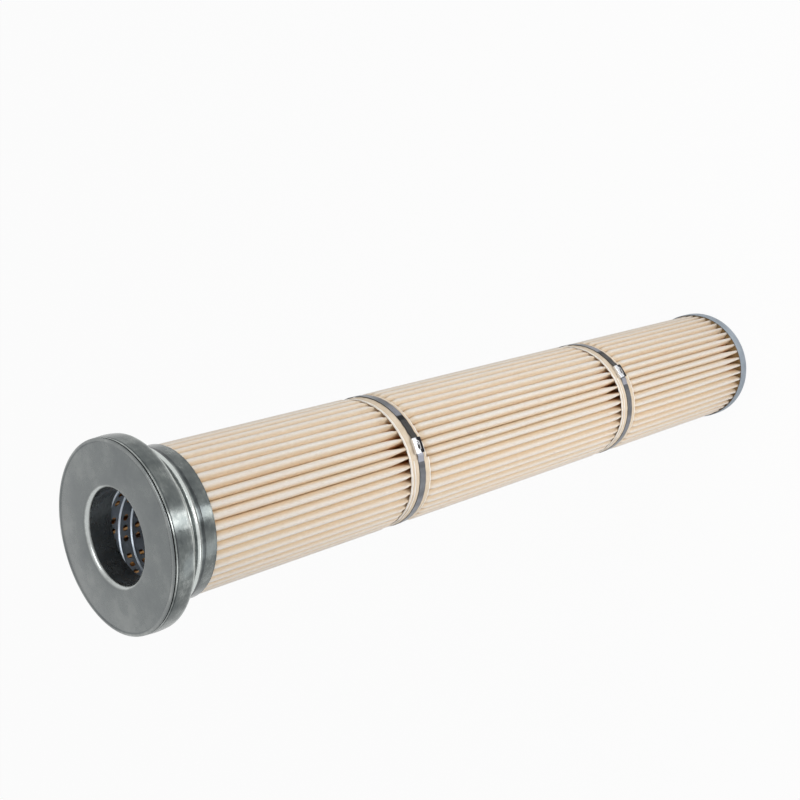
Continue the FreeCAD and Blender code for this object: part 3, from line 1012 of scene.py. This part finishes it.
def makeBuckle(name, band):
    size = buckle
    angle = math.radians(band["buckleAngle"])
    middle = tilted(angle, band["drop"]) + size["offset"]
    seat = tape["seat"] + tape["stack"] + size["seat"]
    sheet, high = size["sheet"], size["height"]
    outer = sleeveOutline(0.0, high, size["width"], size["rounding"])
    inner = sleeveOutline(sheet, high - sheet, size["width"] - 2 * sheet, size["innerRounding"])
    build = bmesh.new()
    rings = []
    for station in size["stations"]:
        pinch = 1.0 - size["endPinch"] * smooth(0.4, 0.5, abs(station))
        along = station * size["length"]
        rings.append([[build.verts.new((seat + up * pinch, along, across * pinch)) for across, up in outline]
                      for outline in (outer, inner)])
    for (outerA, innerA), (outerB, innerB) in zip(rings, rings[1:]):
        ringFaces(build, outerA, outerB)
        ringFaces(build, innerB, innerA)
    for outerEnd, innerEnd in (rings[0], rings[-1]):
        ringFaces(build, outerEnd, innerEnd)
    addOval(build, seat + high)
    addBall(build, seat + high - 0.1)
    bmesh.ops.recalc_face_normals(build, faces=build.faces)
    tapeMap = build.loops.layers.uv.new("tapeMap")
    for face in build.faces:
        for loop in face.loops:
            loop[tapeMap].uv = (loop.vert.co.y * mm, loop.vert.co.z * mm)
    place = Matrix.Translation((0.0, 0.0, middle)) @ Matrix.Rotation(angle, 4, "Z")
    bmesh.ops.transform(build, matrix=Matrix.Scale(mm, 4) @ place, verts=build.verts)
    mesh = finishMesh(build, merge=False, outwards=False)
    addPiece("strapBuckle" + name.capitalize(), mesh, ["buckleSteel", "rimSteel", "hollow"],
             "strap_buckle_" + name, 40.0)


def addOval(build, top):
    # The raised oval rim pressed into the buckle's top, with its sunk middle
    size = buckle
    steps = size["slotSteps"]
    straight = (size["slotLength"] - size["slotWidth"]) / 2.0
    rows = []
    for inset, rise in size["oval"]:
        row = []
        for step in range(steps):
            turn = fullTurn * step / steps
            reach = size["slotWidth"] / 2.0 + inset
            along = reach * math.cos(turn) + math.copysign(straight, math.cos(turn))
            row.append(build.verts.new((top + rise, along, size["slotPlace"] + reach * math.sin(turn))))
        rows.append(row)
    for level, (lower, upper) in enumerate(zip(rows, rows[1:])):
        for face in ringFaces(build, lower, upper):
            # The rim's rows take the rim's painted highlight and the sunk middle takes the painted shade
            face.material_index = 1 if level < 3 else 2
    build.faces.new(rows[-1]).material_index = 2
    build.faces.new(list(reversed(rows[0])))


def addBall(build, top):
    size = buckle
    made = bmesh.ops.create_uvsphere(build, u_segments=20, v_segments=12, radius=size["ball"])
    spot = (top - size["ball"] * 0.5, size["ballPlace"], size["slotPlace"])
    bmesh.ops.translate(build, verts=made["verts"], vec=spot)


makeFacePlate()
makeShell()
makeBottomCap()
print("caps made")
makeCore()
makePleats()
print("core and media made")
for bandName, bandPlace in bandPlaces.items():
    makeTape(bandName, bandPlace)
    makeStrap(bandName, bandPlace)
    makeBuckle(bandName, bandPlace)
print("bands made")

for nodeName in ("top_resin", "bottom_resin"):
    dressNode(nodeName, "pottingResin")
dressNode("locking_balls", "buckleSteel")


# Camera, floor and light

view = {
    "place": (0.0, -0.8757, 1.3984), "forward": (0.08817, 0.72106, -0.68724), "up": (0.95515, -0.257, -0.1471),
    "lens": 56.43, "sensor": 36.0, "shift": (0.05, -0.06375), "near": 0.01, "far": 50.0,
}


def makeCamera():
    camera = newObject("camera", bpy.data.cameras.new("camera"))
    forward = Vector(view["forward"]).normalized()
    right = forward.cross(Vector(view["up"])).normalized()
    turn = Matrix((right, right.cross(forward), -forward)).transposed()
    camera.matrix_world = Matrix.Translation(view["place"]) @ turn.to_4x4()
    camera.data.lens = view["lens"]
    camera.data.sensor_width = view["sensor"]
    camera.data.shift_x, camera.data.shift_y = view["shift"]
    camera.data.clip_start = view["near"]
    camera.data.clip_end = view["far"]
    bpy.context.scene.camera = camera


stage = {"floorSize": 8.0, "floorColour": (0.86, 0.86, 0.86, 1.0), "floorGlow": 0.93, "worldLight": 0.58}
white = (1.0, 1.0, 1.0, 1.0)


def whiteForViewer(maker):
    # 1 for rays that reach the eye directly, in a mirror or through glass
    outputs = maker.add("ShaderNodeLightPath").socket.node.outputs
    seen = Wire(maker, outputs["Is Camera Ray"]) + Wire(maker, outputs["Is Glossy Ray"])
    return maker.add("ShaderNodeClamp", {}, [seen + Wire(maker, outputs["Is Transmission Ray"])])


def makeWorld():
    world = bpy.data.worlds.new("studio")
    bpy.context.scene.world = world
    maker = emptyTree(world)
    soft = maker.add("ShaderNodeBackground", {}, {"Color": white, "Strength": stage["worldLight"]})
    plain = maker.add("ShaderNodeBackground", {}, {"Color": white, "Strength": 1.0})
    both = maker.add("ShaderNodeMixShader", {}, [whiteForViewer(maker), soft, plain])
    maker.add("ShaderNodeOutputWorld", {}, {"Surface": both})


def makeFloor():
    half = stage["floorSize"] / 2.0
    mesh = meshFrom([(-half, -half, 0), (half, -half, 0), (half, half, 0), (-half, half, 0)], [(0, 1, 2, 3)])
    floor = newObject("floor", mesh)
    maker = emptyTree(bpy.data.materials.new("floor"))
    plain = maker.add("ShaderNodeBsdfDiffuse", {}, {"Color": stage["floorColour"]})
    glow = maker.add("ShaderNodeEmission", {}, {"Color": white, "Strength": 1.0})
    lifted = maker.add("ShaderNodeMixShader", {}, [whiteForViewer(maker) * stage["floorGlow"], plain, glow])
    maker.add("ShaderNodeOutputMaterial", {}, {"Surface": lifted})
    mesh.materials.append(maker.owner)


lamps = {
    "keyStrip": {"place": (-0.03, -0.85, 0.42), "size": (0.24, 0.8), "strength": 4.4},
    "fillStrip": {"place": (-0.66, -0.46, 0.26), "size": (0.3, 0.5), "strength": 1.5},
    "overPanel": {"place": (0.8, -1.0, 2.1), "size": (1.2, 0.2), "strength": 8.8},
}
lampTarget = (0.0, 0.0, 0.5)


def makeLamps():
    for name, lamp in lamps.items():
        light = bpy.data.lights.new(name, "AREA")
        light.shape = "RECTANGLE"
        light.size, light.size_y = lamp["size"]
        light.energy = lamp["strength"] * math.pi * light.size * light.size_y
        holder = newObject(name, light)
        holder.location = lamp["place"]
        aim = Vector(lampTarget) - Vector(lamp["place"])
        holder.rotation_euler = aim.to_track_quat("-Z", "Y").to_euler()


makeCamera()
makeWorld()
makeFloor()
makeLamps()
bpy.context.scene.view_settings.view_transform = "Standard"
print("stage made")
